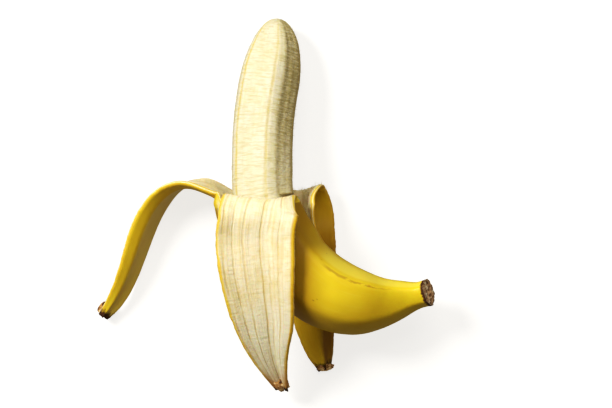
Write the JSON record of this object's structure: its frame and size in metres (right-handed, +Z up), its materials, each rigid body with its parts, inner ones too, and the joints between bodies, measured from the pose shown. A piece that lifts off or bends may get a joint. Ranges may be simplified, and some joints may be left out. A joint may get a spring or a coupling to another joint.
{
  "type": "peeled banana",
  "caption": "Half peeled ripe banana lying on its back: bare flesh, skin strips folded back and a curved lower half that ends in the cut stem.",
  "frame": {"origin": "middle of the outline seen from above, at the height of the table the banana lies on", "axes": "+Z up from the table towards the shown side, +Y along the bare flesh towards its tip, +X across the banana, on the side of the cut stem"},
  "size_m": [0.169, 0.1872, 0.0544],
  "materials": {
    "flesh": "matt",
    "peel": "satin"
  },
  "bodies": {
    "root": {"flesh": "flesh", "peel": "peel"}
  },
  "joints": []
}
